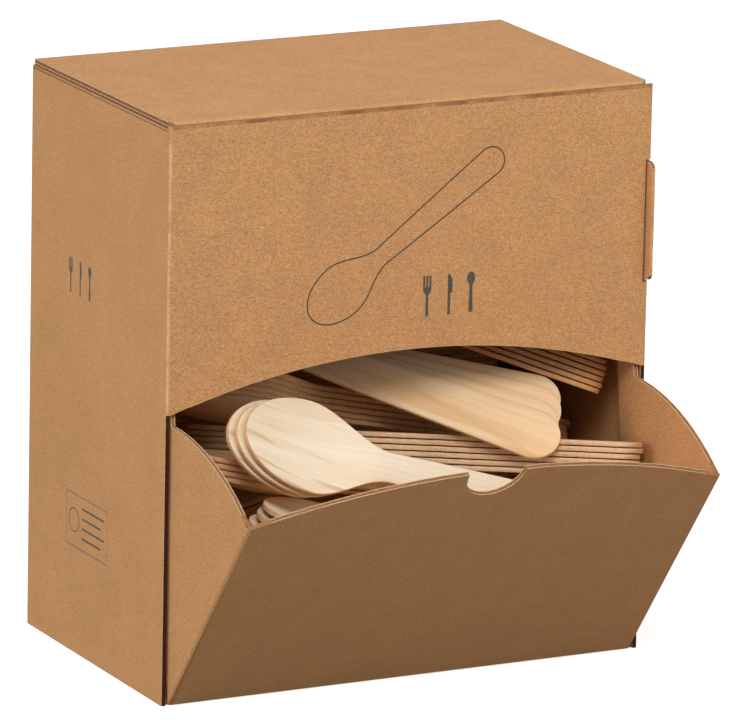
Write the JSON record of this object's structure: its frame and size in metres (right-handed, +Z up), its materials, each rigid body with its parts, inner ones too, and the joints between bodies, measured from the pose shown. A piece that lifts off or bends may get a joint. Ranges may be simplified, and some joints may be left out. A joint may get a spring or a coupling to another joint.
{
  "type": "cutlery dispenser carton",
  "caption": "Kraft corrugated dispenser carton with a hinged tuck lid and a tilt-out front chute with a thumb notch, filled with heaps of wooden spoons.",
  "frame": {"origin": "middle of the carton's base face", "axes": "+Z up, -Y towards the chute and the front panel, +X towards the side with the corner tab"},
  "size_m": [0.186, 0.1844, 0.205],
  "materials": {
    "kraft": "matte",
    "birch": "satin"
  },
  "bodies": {
    "carton": {"carton": "kraft", "front_stack": "birch", "middle_stack": "birch", "back_stack": "birch", "front_spoon_1": "birch", "front_spoon_2": "birch", "front_spoon_3": "birch", "chute_spoon_1": "birch", "chute_spoon_2": "birch", "chute_spoon_3": "birch", "edge_spoon_1": "birch", "edge_spoon_2": "birch", "edge_spoon_3": "birch", "edge_spoon_4": "birch", "right_spoon_1": "birch", "right_spoon_2": "birch", "right_spoon_3": "birch", "right_spoon_4": "birch", "right_spoon_5": "birch", "right_spoon_6": "birch", "left_spoon_1": "birch", "left_spoon_2": "birch", "left_spoon_3": "birch", "left_spoon_4": "birch", "left_spoon_5": "birch", "left_spoon_6": "birch", "top_spoon_1": "birch", "top_spoon_2": "birch", "top_spoon_3": "birch", "top_spoon_4": "birch", "back_spoon_1": "birch", "back_spoon_2": "birch", "back_spoon_3": "birch", "back_spoon_4": "birch", "back_spoon_5": "birch", "back_spoon_6": "birch", "low_spoon_1": "birch", "low_spoon_2": "birch", "low_spoon_3": "birch", "low_spoon_4": "birch", "low_spoon_5": "birch", "low_spoon_6": "birch", "low_spoon_7": "birch", "low_spoon_8": "birch", "low_spoon_9": "birch"},
    "lid": {"lid": "kraft"},
    "chute_flap": {"chute_flap": "kraft"}
  },
  "joints": [
    {"name": "lid_hinge", "type": "hinge", "parent": "carton", "child": "lid", "pos_m": [0, 0.0565, 0.20325], "axis": [-1, 0, 0], "range_deg": [0, 180]},
    {"name": "chute_hinge", "type": "hinge", "parent": "carton", "child": "chute_flap", "pos_m": [0, -0.0557, 0.0009], "axis": [-1, 0, 0], "range_deg": [0, 8]}
  ]
}
